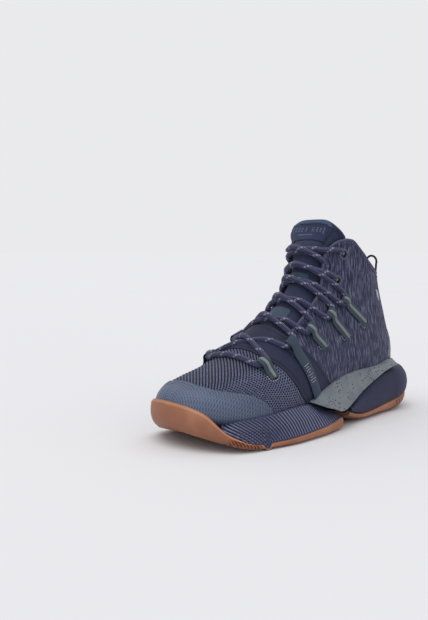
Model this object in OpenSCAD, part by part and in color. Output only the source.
// Basketball high top, left shoe, laced, standing on its sole.
// Frame: +X to the toe, +Y to the outer side, +Z up, origin under the middle of the shoe on the ground.
// The upper is drawn on one closed surface, skin(s, t): s counts fan-shaped stations from the toe
// tip to the collar, t runs round each station from 0 at the front to 1 at the sole or the heel,
// positive on the outer side. Layers are slabs between two distances from that surface.

/* [Size] */
// Length from heel to toe
shoe_length = 292; // [260:1:320]
// Width across the ball of the foot
ball_width = 110; // [100:1:120]
// Height of the tongue's top above the ground
tongue_height = 182; // [165:1:195]

/* [Sole] */
// Thickness of the rubber outsole under the foot
rubber_t = 3.6; // [3:0.2:4.4]
// Height of the ribbed forefoot wall
forefoot_wall = 22; // [18:1:24]
// Height of the heel cup behind the heel
heel_wall = 42; // [36:1:46]

/* [Upper] */
// Thickness of the knit, mesh and overlay layer
fabric_t = 1.6; // [1:0.1:1.8]
// Thickness of the tongue padding
tongue_t = 4; // [3:0.5:5]
// Width of the webbing lace loops
loop_w = 9; // [7:0.5:11]
// Width of the long side strap
strap_w = 11; // [8:0.5:12]

/* [Lace] */
// Diameter of the round lace
lace_d = 4.6; // [3.5:0.1:5.2]
// Bore of an eyelet ring
eyelet_bore = 5.4; // [5.2:0.1:6]

/* [Pull loop] */
// Height of the heel pull loop above its hinge
pull_h = 22; // [16:1:26]
// Diameter of the pull loop's cord
pull_d = 2.6; // [2:0.2:3.2]

/* [Hidden] */

$fn = 32;
// size of the drawn shoe, which the driving dimensions stretch
DRAWN = [292, 110, 182];
STRETCH = [shoe_length / DRAWN[0], ball_width / DRAWN[1], tongue_height / DRAWN[2]];
// middle of the drawn shoe in plan, which becomes the origin
MIDDLE = [145, 1, 0];
// gap between neighbouring layers
gap = 0.3;

// Stations from the toe tip to the collar. Each row: front or top point x, z; back or bottom
// point x, z; outer and inner half width; middle y; height share of the widest place;
// roundness of the part above it and of the part below it.
STATIONS = [
    [288, 33, 288, 28, 2, 2, -7, 0.5, 2, 2],
    [284, 43, 285, 21, 19, 18, -7, 0.4, 2, 2.2],
    [273, 50, 275, 17, 34, 31, -6, 0.38, 2.1, 2.4],
    [255, 55, 256, 14.5, 43, 40, -5, 0.36, 2.1, 2.6],
    [235, 61, 235, 14, 48, 43.5, -3, 0.34, 2.1, 2.6],
    [215, 71, 210, 14, 48, 45, -2, 0.32, 2, 2.6],
    [194, 84, 176, 15, 44, 43, -2, 0.3, 2, 2.6],
    [175, 98, 136, 17, 38, 38, -2, 0.3, 2.1, 2.6],
    [159, 113, 86, 19, 35, 33, -2, 0.32, 2.2, 2.6],
    [147, 128, 31, 22, 32, 32, -2, 0.36, 2.4, 2.4],
    [140, 143, 12, 46, 29, 33, -3, 0.42, 2.5, 2.1],
    [133, 157, 17, 78, 28, 36, -4, 0.48, 2.6, 1.9],
    [123, 170, 26, 106, 28, 37, -5, 0.52, 2.7, 1.8],
    [116, 182, 32, 131, 27, 36, -5, 0.55, 2.7, 1.8]];
LAST = len(STATIONS) - 1;

// Seam lines on the skin: [t, s] pairs, the same on both sides
TOE_CAP_EDGE = [[0, 2.05], [0.15, 2.1], [0.25, 2.45], [0.31, 3], [0.37, 3.6], [0.44, 4.05], [0.52, 4.4],
    [0.62, 4.55], [1, 4.6]];
SADDLE_FRONT = [[0, 5], [0.18, 5.02], [0.25, 5.22], [0.38, 5.5], [0.53, 5.85], [0.62, 6.02], [1, 6.1]];
SADDLE_REAR = [[0, 6.35], [0.15, 6.37], [0.24, 6.5], [0.34, 6.75], [0.42, 6.95], [0.52, 7.12],
    [0.62, 7.3], [1, 7.5]];
QUARTER_LOW = [[0.195, 6.46], [0.24, 6.52], [0.34, 6.77], [0.42, 6.97], [0.52, 7.14], [0.62, 7.35],
    [0.7, 8], [0.76, 8.8], [0.82, 9.1], [0.9, 9.3], [1, 9.4]];
COLLAR_EDGE = [[0.195, 10.6], [0.215, 11.15], [0.26, 11.75], [0.31, 12.1], [0.355, 12.36], [0.42, 12.6],
    [0.5, 12.45], [0.55, 12.35], [0.65, 12.4], [0.75, 12.6], [0.88, 12.85], [1, 12.95]];
SHANK_TOP = [[6.1, 0.6], [6.6, 0.56], [7.1, 0.53], [7.7, 0.515], [8.4, 0.545], [8.9, 0.58], [9.3, 0.63],
    [9.6, 0.72], [9.75, 0.8]];
// sides of the lasted edge, where the upper turns under the foot
UNDER = 0.74;
// where each side's lace rows sit: [s, t] of the lace end, [s, t] of the anchored end
ROWS = [[[4.78, 0.212], [4.86, 0.325]], [[6.24, 0.232], [6.46, 0.6]], [[7.3, 0.258], [7.47, 0.375]],
    [[8.41, 0.285], [8.44, 0.41]], [[9.42, 0.325], [9.51, 0.453]], [[10.05, 0.293]], [[11.48, 0.337]]];

// Half widths of the sole over x, and the ends of its straight middle
SOLE_OUTER = [[48, 38.5], [72, 40], [118, 45], [165, 54], [208, 56], [245, 50]];
SOLE_INNER = [[48, 38.5], [110, 41.5], [145, 46], [175, 51], [208, 54.5], [245, 51.5]];
SOLE_ENDS = [48, 245];
TOE_REACH = 46;
HEEL_REACH = 49;
TOE_SWING = -8;
HEEL_SWING = 2;
// top edge of the rubber over x on each side
RUBBER_TOP_OUTER = [[145, 11], [169, 8], [196, 6.5], [218, 5.6], [238, 5], [250, 6.6], [258, 9.5],
    [268, 14.5], [277, 22], [283, 28], [289, 34], [292, 36]];
RUBBER_TOP_INNER = [[145, 7], [160, 10], [190, 13], [215, 9], [238, 5], [250, 8], [262, 15], [275, 24],
    [284, 33], [292, 36]];
HEEL_RUBBER_TOP = [[-2, 17], [20, 14], [45, 11], [60, 9], [80, 7], [100, 6], [124, 5.5]];
// top edge of the foam over x on each side, and its bed under the foot
FOREFOOT_TOP_OUTER = [[140, 13], [145, 14], [158, 19], [172, 23], [190, 25], [206, 25], [230, 23],
    [262, 21], [275, 18], [286, 20]];
FOREFOOT_TOP_INNER = [[140, 27], [160, 30], [178, 31], [192, 29], [208, 25], [228, 21], [262, 21],
    [275, 18], [286, 20]];
HEEL_TOP_OUTER = [[-1, 42], [40, 41.5], [50, 41], [67, 38.5], [83, 33.5], [96, 29], [109, 24.5], [126, 17]];
HEEL_TOP_INNER = [[-1, 42], [50, 41], [67, 38], [90, 32], [126, 27]];
BED = [[0, 27], [20, 21], [31, 18.8], [86, 15.7], [136, 13.6], [160, 13], [172, 13], [182, 14], [235, 13.3],
    [256, 13.8], [275, 16.2], [285, 20]];
// how far the foam's top edge lies inside the sole's outline: its outer and its inner corner
FOREFOOT_LEAN_OUTER = [[140, 2.6], [160, 3], [172, 5], [190, 6.5], [206, 5.6], [219, 4], [232, 2.8],
    [262, 2.2]];
FOREFOOT_RIM_OUTER = [[140, 13], [160, 13.4], [175, 11.6], [190, 10.2], [206, 9.2], [219, 7], [232, 5.6],
    [245, 5.6], [262, 6.4]];
FOREFOOT_LEAN_INNER = [[140, 2.6], [232, 2.2], [262, 2.2]];
FOREFOOT_RIM_INNER = [[140, 4.6], [175, 4.6], [206, 6], [232, 6], [262, 6.4]];
HEEL_LEAN_OUTER = [[-1, 6], [48, 4], [80, 3.6], [110, 5], [126, 7]];
HEEL_RIM_OUTER = [[-1, 10.2], [48, 8], [80, 6.8], [110, 8], [126, 10]];
HEEL_LEAN_INNER = [[-1, 6], [30, 3.4], [48, 2.4], [126, 2]];
HEEL_RIM_INNER = [[-1, 10.2], [30, 6.4], [48, 4.8], [126, 4.6]];
// lower edge of the shank's wing: [s, x, z]
WING_LOW = [[6.1, 172, 24.4], [6.6, 158, 20.5], [7.1, 144, 15.6], [7.7, 121, 19.6], [8.1, 104, 27],
    [8.5, 84, 34.6], [8.9, 66, 40.4], [9.3, 50, 43.6], [9.6, 43, 44.4]];

function mix(a, b, f) = a + (b - a) * f;

// smooth curve through the rows of a table, at row number u
function curve(rows, u) =
    let (n = len(rows) - 1, v = min(max(u, 0), n), i = min(floor(v), n - 1), f = v - i,
        b = rows[i], c = rows[i + 1],
        a = i > 0 ? rows[i - 1] : 2 * b - c,
        d = i < n - 1 ? rows[i + 2] : 2 * c - b)
    0.5 * (2 * b + (c - a) * f + (2 * a - 5 * b + 4 * c - d) * f * f + (3 * b - a - 3 * c + d) * f * f * f);

// point of one station, from its row of numbers
function station_point(r, t) =
    let (c = cos(180 * t), s = sin(180 * t), n = c >= 0 ? r[8] : r[9],
        h = r[7] + sign(c) * (c >= 0 ? 1 - r[7] : r[7]) * pow(abs(c), 2 / n),
        w = s >= 0 ? r[4] : r[5])
    [mix(r[2], r[0], h), r[6] + sign(s) * w * pow(abs(s), 2 / n), mix(r[3], r[1], h)];

function stretched(p) = [(p[0] - MIDDLE[0]) * STRETCH[0], (p[1] - MIDDLE[1]) * STRETCH[1],
    p[2] * STRETCH[2]];

// outward direction of the skin
function skin_normal(s, t) =
    let (e = 0.02,
        along = station_point(curve(STATIONS, min(s + e, LAST)), t)
            - station_point(curve(STATIONS, max(s - e, 0)), t),
        r = curve(STATIONS, s),
        around = station_point(r, t + e) - station_point(r, t - e),
        m = cross(around, along))
    m / norm(m);

// point at distance d outside the skin
function skin(s, t, d = 0) =
    stretched(station_point(curve(STATIONS, s), t) + (d == 0 ? [0, 0, 0] : d * skin_normal(s, t)));

// closed solid between two grids of points of the same size; with joined ends, the first or the
// last row folds onto itself at its middle column and needs no cap
module slab(outer, inner, joined_start = false, joined_end = false) {
    m = len(outer) - 1;
    n = len(outer[0]) - 1;
    count = (m + 1) * (n + 1);
    fold = function(i, j) (joined_start && i == 0 || joined_end && i == m) && j > n / 2 ? n - j : j;
    o = function(i, j) i * (n + 1) + fold(i, j);
    k = function(i, j) count + i * (n + 1) + fold(i, j);
    faces = concat(
        [for (i = [0:m - 1], j = [0:n - 1]) each [[o(i, j), o(i, j + 1), o(i + 1, j + 1)],
            [o(i, j), o(i + 1, j + 1), o(i + 1, j)]]],
        [for (i = [0:m - 1], j = [0:n - 1]) each [[k(i, j), k(i + 1, j + 1), k(i, j + 1)],
            [k(i, j), k(i + 1, j), k(i + 1, j + 1)]]],
        [for (i = [0:m - 1]) each [[o(i, 0), o(i + 1, 0), k(i + 1, 0)], [o(i, 0), k(i + 1, 0), k(i, 0)],
            [o(i, n), k(i + 1, n), o(i + 1, n)], [o(i, n), k(i, n), k(i + 1, n)]]],
        joined_start ? [] : [for (j = [0:n - 1]) each [[o(0, j), k(0, j + 1), o(0, j + 1)],
            [o(0, j), k(0, j), k(0, j + 1)]]],
        joined_end ? [] : [for (j = [0:n - 1]) each [[o(m, j), o(m, j + 1), k(m, j + 1)],
            [o(m, j), k(m, j + 1), k(m, j)]]]);
    polyhedron(concat([for (row = outer) each row], [for (row = inner) each row]), faces);
}

// layer of the upper between distances d0 and d1; place(u, v) gives [s, t] for u, v from 0 to 1
module layer(place, d0, d1, rows, columns) {
    grid = function(d) [for (i = [0:rows]) [for (j = [0:columns])
        let (p = place(i / rows, j / columns)) skin(p[0], p[1], d)]];
    slab(grid(d1), grid(d0));
}

// round tube through points, with the given sideways directions at its rings
module tube(points, sides_dir, r, sides = 8) {
    n = len(points) - 1;
    rings = [for (i = [0:n])
        let (ahead = points[min(i + 1, n)] - points[max(i - 1, 0)], a = ahead / norm(ahead),
            across = cross(a, sides_dir[i]), b = across / norm(across), c = cross(b, a))
        [for (k = [0:sides - 1]) points[i] + r * (cos(360 * k / sides) * b + sin(360 * k / sides) * c)]];
    v = function(i, k) i * sides + k % sides;
    polyhedron([for (ring = rings) each ring], concat(
        [for (i = [0:n - 1], k = [0:sides - 1]) each [[v(i, k), v(i, k + 1), v(i + 1, k + 1)],
            [v(i, k), v(i + 1, k + 1), v(i + 1, k)]]],
        [[for (k = [sides - 1:-1:0]) v(0, k)]], [[for (k = [0:sides - 1]) v(n, k)]]));
}

// Sole: rows run from the toe tip to the heel tip, each [x, angle round the end]
SOLE_ROWS = concat([for (a = [0:15:75]) [SOLE_ENDS[1], a]],
    [for (x = [SOLE_ENDS[1], 232, 219, 206, 190, 175, 160, 142]) [x, 90]],
    [for (x = [126, 110, 94, 78, 62, SOLE_ENDS[0]]) [x, 90]],
    [for (a = [105:15:180]) [SOLE_ENDS[0], a]]);
FOREFOOT_ROWS = 14;

// ground line of the rubber over x, curling up at the toe and slightly at the heel
function ground(x) = x > 232 ? 0.0042 * (x - 232) ^ 2 : x < 45 ? 0.0025 * (45 - x) ^ 2 : 0;

// point of the sole at an inset from its outline, on the outer (side 1) or inner (side -1) side
function sole_point(row, side, inset, share = 1) =
    let (c = cos(row[1]), s = sin(row[1]), w = lookup(row[0], side > 0 ? SOLE_OUTER : SOLE_INNER),
        reach = c >= 0 ? TOE_REACH : HEEL_REACH,
        radius = (1 / norm([c / reach, s / w]) - inset) * share,
        swing = c >= 0 ? TOE_SWING * c : -HEEL_SWING * c)
    [row[0] + c * radius, side * s * radius + swing];

// row of points from the outer wall's top, under the foot and up the inner wall;
// profile(x, side) gives [inset, z, share] entries from the top down, where z may be a function
// of x and share shortens the distance from the middle line
function sole_row(row, profile) =
    let (half = function(side) let (x = sole_point(row, side, 0)[0])
            [for (p = profile(x, side)) let (q = sole_point(row, side, p[0], len(p) > 2 ? p[2] : 1))
                stretched([q[0], q[1], is_function(p[1]) ? p[1](q[0]) : p[1]])],
        outer = half(1), inner = half(-1), middle = (outer[len(outer) - 1] + inner[len(inner) - 1]) / 2)
    concat(outer, [middle], [for (i = [len(inner) - 1:-1:0]) inner[i]]);

function sole_grid(rows, profile) = [for (row = rows) sole_row(row, profile)];

forefoot_rows = [for (i = [0:FOREFOOT_ROWS - 1]) SOLE_ROWS[i]];
heel_rows = [for (i = [FOREFOOT_ROWS:len(SOLE_ROWS) - 1]) SOLE_ROWS[i]];
function pick(x, side, outer, inner) = lookup(x, side > 0 ? outer : inner);
function rubber_top(x, side) = pick(x, side, RUBBER_TOP_OUTER, RUBBER_TOP_INNER);
// wall thickness of the rubber, thinner round the toe tip
function rubber_wall(x) = x > 262 ? 2.4 : 3;
// height above the rubber's ground line, as a function of x
function above_ground(h) = function(x) ground(x) + h;
// share of the way out from the middle line where the flat parts end
FLAT = 0.4;

module outsole_forefoot() {
    top = function(x, side) max(rubber_top(x, side), ground(x) + rubber_t + 1);
    below = function(x, side) [[0, top(x, side)], [0, mix(ground(x), top(x, side), 0.5)],
        [1.4, above_ground(1.2)], [4, above_ground(0)], [0, above_ground(0), FLAT]];
    above = function(x, side) let (w = rubber_wall(x))
        [[w, top(x, side)], [w, mix(ground(x) + rubber_t, top(x, side), 0.6)],
            [w + 1, above_ground(rubber_t + 0.4)], [w + 4, above_ground(rubber_t)],
            [0, above_ground(rubber_t), FLAT]];
    color("peru")
        slab(sole_grid(forefoot_rows, below), sole_grid(forefoot_rows, above), joined_start = true);
}

module outsole_heel() {
    below = function(x, side) let (top = lookup(x, HEEL_RUBBER_TOP))
        [[1.5, top], [2.4, mix(ground(x), top, 0.5)], [4.5, above_ground(1.2)], [8, above_ground(0)],
            [0, above_ground(0), FLAT]];
    above = function(x, side) let (top = lookup(x, HEEL_RUBBER_TOP))
        [[4.5, top], [5.4, mix(ground(x) + rubber_t, top, 0.6)], [8, above_ground(rubber_t + 0.3)],
            [11, above_ground(rubber_t)], [0, above_ground(rubber_t), FLAT]];
    color("peru") slab(sole_grid(heel_rows, below), sole_grid(heel_rows, above), joined_end = true);
}

module midsole_forefoot() {
    low = rubber_t + gap;
    top = function(x, side) max(pick(x, side, FOREFOOT_TOP_OUTER, FOREFOOT_TOP_INNER) * forefoot_wall / 22,
        ground(x) + low + 1.5);
    bed = function(x) lookup(x, BED);
    below = function(x, side) let (w = rubber_wall(x) + gap, t = top(x, side),
            lip = max(rubber_top(x, side), ground(x) + rubber_t + 1) + gap,
            shown = lip < t - (x > 250 ? 9 : 1),
            lean = pick(x, side, FOREFOOT_LEAN_OUTER, FOREFOOT_LEAN_INNER))
        concat(shown ? [[lean, t], [lean * 0.25 + 0.3, mix(lip, t, 0.55)], [0.4, lip], [w, lip]]
            : [[w + 1.6, t], [w + 1.3, t - 0.4], [w + 1.1, t - 0.6], [w + 1.1, t - 0.8]],
            [[w + 1.6, above_ground(low + 0.8)], [w + 5, above_ground(low)], [0, above_ground(low), FLAT]]);
    above = function(x, side) let (t = top(x, side), b = bed(x),
            rim = pick(x, side, FOREFOOT_RIM_OUTER, FOREFOOT_RIM_INNER))
        [[rim, t], [rim, mix(b, t, 0.8)], [rim + 0.1, mix(b, t, 0.5)], [rim + 0.3, mix(b, t, 0.2)],
            [rim + 1.2, bed], [rim + 5, bed], [0, bed, FLAT]];
    color("midnightblue")
        slab(sole_grid(forefoot_rows, below), sole_grid(forefoot_rows, above), joined_start = true);
}

module midsole_heel() {
    low = rubber_t + gap;
    top = function(x, side) pick(x, side, HEEL_TOP_OUTER, HEEL_TOP_INNER) * heel_wall / 42;
    bed = function(x) lookup(x, BED);
    rubber_inset = 4.8;
    below = function(x, side) let (t = top(x, side), lip = lookup(x, HEEL_RUBBER_TOP) + gap)
        [[pick(x, side, HEEL_LEAN_OUTER, HEEL_LEAN_INNER), t], [0.4, mix(lip, t, 0.6)],
            [0, mix(lip, t, 0.3)], [1.5, lip], [rubber_inset, lip], [8.4, above_ground(low + 0.4)],
            [12, above_ground(low)], [0, above_ground(low), FLAT]];
    above = function(x, side) let (t = top(x, side), b = bed(x),
            rim = pick(x, side, HEEL_RIM_OUTER, HEEL_RIM_INNER))
        [[rim, t], [rim + 0.4, mix(b, t, 0.8)], [rim + 1.2, mix(b, t, 0.6)], [rim + 3, mix(b, t, 0.4)],
            [rim + 6, mix(b, t, 0.16)], [rim + 8, bed], [rim + 10, bed], [0, bed, FLAT]];
    color("darkslateblue")
        slab(sole_grid(heel_rows, below), sole_grid(heel_rows, above), joined_end = true);
}

// wing on the outer side of the waist, from the upper down to the edge of the sole
module midfoot_shank() {
    low_x = [for (p = WING_LOW) [p[0], p[1]]];
    low_z = [for (p = WING_LOW) [p[0], p[2]]];
    wing_t = 2;
    low_edge = function(s) let (x = lookup(s, low_x),
            lean = x > 126 ? 1 : lookup(x, HEEL_LEAN_OUTER) - 1.5,
            row = x > SOLE_ENDS[0] ? [x, 90] : [SOLE_ENDS[0], 90 + 2 * (SOLE_ENDS[0] - x)],
            q = sole_point(row, 1, lean))
        stretched([q[0], q[1], lookup(s, low_z)]);
    sheet = function(d) [for (i = [0:14])
        let (s = mix(6.1, 9.6, i / 14), a = skin(s, lookup(s, SHANK_TOP), d), b = low_edge(s) + [0, d, 0])
        [for (j = [0:4]) let (f = j / 4) mix(a, b, f) + [0, 2.4 * f * (1 - f), 0]]];
    color("slategray") slab(sheet(gap + wing_t), sheet(gap));
}

// stiff plate that bridges the waist between the two soles
module arch_plate() {
    place = function(u, v) [mix(6.6, 8.5, u), mix(0.82, 1.18, v)];
    color("black") layer(place, gap, 2, 10, 6);
}

// layer under the foot, between stations s0 and s1, as wide as t from the middle line
module underfoot(s0, s1, t, d0, d1) {
    half = [[s0, 0.35 * (1 - t)], [s0 + 0.6, 1 - t], [s1 - 0.3, 1 - t], [s1, 0.6 * (1 - t)]];
    place = function(u, v) let (s = mix(s0, s1, u), h = lookup(s, half)) [s, 1 + mix(-h, h, v)];
    layer(place, d0, d1, 18, 8);
}

module lasting_board() {
    color("wheat") underfoot(1, 9, 0.78, -1.6, -0.4);
}

module insole() {
    color("gray") underfoot(1.1, 8.95, 0.76, -8.5, -4.3);
}

module toe_cap() {
    place = function(u, v) let (t = mix(-UNDER, UNDER, v)) [mix(0.15, lookup(abs(t), TOE_CAP_EDGE), u), t];
    color("steelblue") layer(place, -fabric_t, 0, 8, 26);
}

module toe_puff() {
    place = function(u, v) [mix(0.7, 1.9, u), mix(-0.56, 0.56, v)];
    color("tan") layer(place, -3.1, -2.3, 6, 22);
}

module vamp_mesh() {
    place = function(u, v) let (t = mix(-UNDER, UNDER, v))
        [mix(lookup(abs(t), TOE_CAP_EDGE) + 0.02, lookup(abs(t), SADDLE_FRONT) - 0.02, u), t];
    color("slateblue") layer(place, -fabric_t, 0, 6, 26);
}

module vamp_lining() {
    place = function(u, v) let (t = mix(-UNDER, UNDER, v)) [mix(0.8, 5.6, u), t];
    color("dimgray") layer(place, -4.5, -3.7, 12, 20);
}

module saddle() {
    place = function(u, v) let (t = mix(-UNDER, UNDER, v))
        [mix(lookup(abs(t), SADDLE_FRONT), lookup(abs(t), SADDLE_REAR), u), t];
    color("darkslateblue") layer(place, -fabric_t, 0, 4, 26);
}

module quarter(side) {
    // columns of t, closer together at the round lobe above the eyelets
    columns = [0.195, 0.215, 0.24, 0.27, 0.31, 0.355, 0.42, 0.48, 0.54, 0.6, 0.66, 0.72, 0.78, 0.84, 0.92,
        0.998];
    last = len(columns) - 1;
    // the outer side runs from front to back, the inner side from back to front
    place = function(u, v) let (k = side > 0 ? v : 1 - v, t = columns[round(k * last)])
        [mix(lookup(t, QUARTER_LOW), lookup(t, COLLAR_EDGE), u), side * t];
    color("indigo") layer(place, -fabric_t, 0, 12, last);
}
module quarter_lateral() quarter(1);
module quarter_medial() quarter(-1);

module eyestay_backer(side) {
    place = function(u, v) [mix(9.7, 11.6, u), side * mix(0.22, 0.345, side > 0 ? v : 1 - v)];
    color("black") layer(place, -2.8, -1.9, 4, 4);
}
module eyestay_backer_lateral() eyestay_backer(1);
module eyestay_backer_medial() eyestay_backer(-1);

module heel_counter() {
    place = function(u, v) [mix(9.6, 11.2, u), mix(0.72, 1.28, v)];
    color("tan") layer(place, -4.6, -3.1, 6, 16);
}

module heel_strip() {
    place = function(u, v) let (s = mix(9.9, 12.3, u), h = mix(0.17, 0.08, u)) [s, 1 + mix(-h, h, v)];
    color("slategray") layer(place, gap, 1.3, 8, 6);
}

module collar_foam() {
    place = function(u, v) let (t = mix(0.42, 1.58, v), top = lookup(t > 1 ? 2 - t : t, COLLAR_EDGE) - 0.06)
        [mix(11.3, top, u), t];
    color("khaki") layer(place, -6.4, -1.9, 4, 22);
}

module collar_lining() {
    place = function(u, v) let (t = mix(0.38, 1.62, v), top = lookup(t > 1 ? 2 - t : t, COLLAR_EDGE) - 0.04,
            low = lookup(abs(1 - t), [[0, 9.55], [0.2, 9.4], [0.3, 9], [0.42, 7.6], [0.5, 7], [0.7, 7]]))
        [mix(low, top, u), t];
    color("dimgray") layer(place, -7.5, -6.7, 12, 28);
}

// cord round the collar's edge, from one lobe round the heel to the other
module collar_binding() {
    ts = [for (t = [0.31:0.06:1.69]) t];
    top = function(t) lookup(t > 1 ? 2 - t : t, COLLAR_EDGE) + 0.03;
    rim = function(t) skin(LAST - 0.05 < top(t) ? LAST - 0.05 : top(t), t, -1)
        + [0, 0, 1.6 * STRETCH[2]];
    color("black") tube([for (t = ts) rim(t)], [for (t = ts) skin_normal(top(t), t)], 1.3);
}

// the tongue is one padded piece that bends above the top lace
TONGUE_HALF = [[5.8, 0.16], [6.5, 0.2], [9, 0.26], [11, 0.27], [11.8, 0.235], [12.3, 0.31], [12.6, 0.35],
    [12.9, 0.345]];
TONGUE_D = -3.1;
TONGUE_FOLD = 11.9;
module tongue(s0, s1, rows) {
    place = function(u, v) let (s = mix(s0, s1, u), h = lookup(s, TONGUE_HALF)) [s, mix(-h, h, v)];
    layer(place, TONGUE_D - tongue_t, TONGUE_D, rows, 12);
}
module tongue_body() {
    color("midnightblue") tongue(5.8, TONGUE_FOLD, 16);
}
module tongue_tip() {
    color("steelblue") tongue(TONGUE_FOLD + 0.04, 12.92, 4);
}

// flat patch on the tongue
module tongue_patch(s0, s1, h, d0, d1) {
    place = function(u, v) [mix(s0, s1, u), mix(-h, h, v)];
    layer(place, TONGUE_D + d0, TONGUE_D + d1, 3, 10);
}
module tongue_label() {
    color("darkslategray") tongue_patch(12.08, 12.6, 0.15, 0.3, 1.2);
}
module tongue_keeper_low() {
    color("cadetblue") tongue_patch(7.0, 7.5, 0.07, gap, 1.2);
}
module tongue_keeper_mid() {
    color("cadetblue") tongue_patch(8.9, 9.4, 0.07, gap, 1.2);
}
module tongue_keeper_top() {
    color("cadetblue") tongue_patch(10.5, 11, 0.07, gap, 1.2);
}

// turns the +Z of its children to direction n
module facing(n) {
    rotate([0, acos(n[2]), atan2(n[1], n[0])]) children();
}

module eyelet_rings() {
    bead = 0.8;
    color("black") for (side = [-1, 1], k = [5, 6]) {
        s = ROWS[k][0][0];
        t = side * ROWS[k][0][1];
        translate(skin(s, t, bead + gap)) facing(skin_normal(s, t))
            rotate_extrude() translate([eyelet_bore / 2 + bead, 0]) circle(bead, $fn = 8);
    }
}

// webbing band from the lace end to the anchored end of a row
module band(k, side, width, d1) {
    a = ROWS[k][0];
    b = ROWS[k][1];
    // station distance that makes half the width
    half = function(s, t) width / 2 * 0.2 / norm(skin(s + 0.1, t) - skin(s - 0.1, t));
    place = function(u, v)
        let (w = side > 0 ? u : 1 - u, s = mix(a[0], b[0], w), t = side * mix(a[1], b[1], w))
        [s + mix(1, -1, v) * half(s, t), t];
    layer(place, gap, d1, 6, 2);
}
module toe_loop_lateral() color("cadetblue") band(0, 1, loop_w, 2.2);
module toe_loop_medial() color("cadetblue") band(0, -1, loop_w, 2.2);
module strap_lateral() color("cadetblue") band(1, 1, strap_w, 1.8);
module strap_medial() color("cadetblue") band(1, -1, strap_w, 1.8);
module side_loop_lateral_1() color("cadetblue") band(2, 1, loop_w, 2.2);
module side_loop_lateral_2() color("cadetblue") band(3, 1, loop_w, 2.2);
module side_loop_lateral_3() color("cadetblue") band(4, 1, loop_w, 2.2);
module side_loop_medial_1() color("cadetblue") band(2, -1, loop_w, 2.2);
module side_loop_medial_2() color("cadetblue") band(3, -1, loop_w, 2.2);
module side_loop_medial_3() color("cadetblue") band(4, -1, loop_w, 2.2);

// Lace route, as [s, t, distance from the skin]. At each row the lace enters the loop from
// the toe side and leaves it upwards; between rows it crosses the middle line.
LACE_REST = 2.6;
function lace_turn(k, side) =
    let (s = ROWS[k][0][0], t = side * ROWS[k][0][1])
    k < 5 ? [for (p = [[-0.26, 0.97], [0.02, 1.05], [0.28, 0.95]]) [s + p[0], t * p[1], LACE_REST]]
    : k == 5 ? [[s, t * 0.96, 2.4], [s + 0.12, t * 1.0, -1], [s + 0.35, t * 0.72, -1.6]]
    : [[s, t * 0.96, 2.4], [s, t * 1.05, -1.4], [s - 0.2, t * 1.25, -9.9], [s - 0.7, t * 1.4, -10.2]];
function lace_cross(k, side, lift) =
    let (a = ROWS[k][0], b = ROWS[k + 1][0])
    [for (f = [0.25, 0.5, 0.75]) [mix(a[0] + 0.25, b[0] - 0.25, f), side * mix(a[1], -b[1], f) * 0.95,
        f == 0.5 ? lift : 1.6]];
function lace_half(side) = [for (k = [0:5]) let (here = k % 2 == 0 ? side : -side)
    each concat(k == 0 ? [] : lace_turn(k, here), lace_cross(k, here, here > 0 ? 4.6 : -0.3))];
function lace_end(side) = lace_turn(6, side);
function reversed(list) = [for (i = [len(list) - 1:-1:0]) list[i]];
LACE_START = [for (p = [[0.25, 1], [0, 1.05], [-0.22, 0.9], [-0.3, 0.5]])
    [ROWS[0][0][0] + p[0], ROWS[0][0][1] * p[1], LACE_REST]];
function mirrored(list) = [for (p = list) [p[0], -p[1], p[2]]];
LACE_ROUTE = concat(reversed(concat(lace_half(1), lace_end(1))),
    LACE_START, [[ROWS[0][0][0] - 0.3, 0, LACE_REST]], mirrored(reversed(LACE_START)),
    concat(lace_half(-1), lace_end(-1)));

module lace() {
    color("rebeccapurple") tube([for (p = LACE_ROUTE) skin(p[0], p[1], p[2])],
        [for (p = LACE_ROUTE) skin_normal(p[0], p[1])], lace_d / 2);
}

module aglets() {
    color("black") for (side = [0, 1]) {
        route = side == 0 ? LACE_ROUTE : reversed(LACE_ROUTE);
        a = skin(route[0][0], route[0][1], route[0][2]);
        b = skin(route[1][0], route[1][1], route[1][2]);
        n = (a - b) / norm(a - b);
        translate(a + 0.1 * n) facing(n) cylinder(h = 16, d = 3.4);
    }
}

// Heel pull loop: a cord that swings on the tab behind the collar
PULL = skin(12.7, 1, 3.6);
pull_half = 5;
module pull_tab() {
    place = function(u, v) [mix(12.1, 12.61, u), 1 + mix(-0.09, 0.09, v)];
    color("black") layer(place, 1.6, 3.2, 3, 4);
}
module pull_loop() {
    reach = pull_h - pull_half;
    color("black") translate(PULL) {
        for (y = [-pull_half, pull_half]) translate([0, y, 0]) cylinder(h = reach, d = pull_d);
        translate([0, 0, reach]) rotate([90, 0, 90])
            rotate_extrude(angle = 180) translate([pull_half, 0]) circle(d = pull_d);
        rotate([90, 0, 0]) cylinder(h = 2 * pull_half + pull_d, d = pull_d, center = true);
    }
}

outsole_forefoot();
outsole_heel();
midsole_forefoot();
midsole_heel();
midfoot_shank();
arch_plate();
lasting_board();
insole();
toe_cap();
toe_puff();
vamp_mesh();
vamp_lining();
saddle();
quarter_lateral();
quarter_medial();
eyestay_backer_lateral();
eyestay_backer_medial();
heel_counter();
heel_strip();
collar_foam();
collar_lining();
collar_binding();
tongue_body();
tongue_tip();
tongue_label();
tongue_keeper_low();
tongue_keeper_mid();
tongue_keeper_top();
eyelet_rings();
toe_loop_lateral();
toe_loop_medial();
strap_lateral();
strap_medial();
side_loop_lateral_1();
side_loop_lateral_2();
side_loop_lateral_3();
side_loop_medial_1();
side_loop_medial_2();
side_loop_medial_3();
lace();
aglets();
pull_tab();
pull_loop();
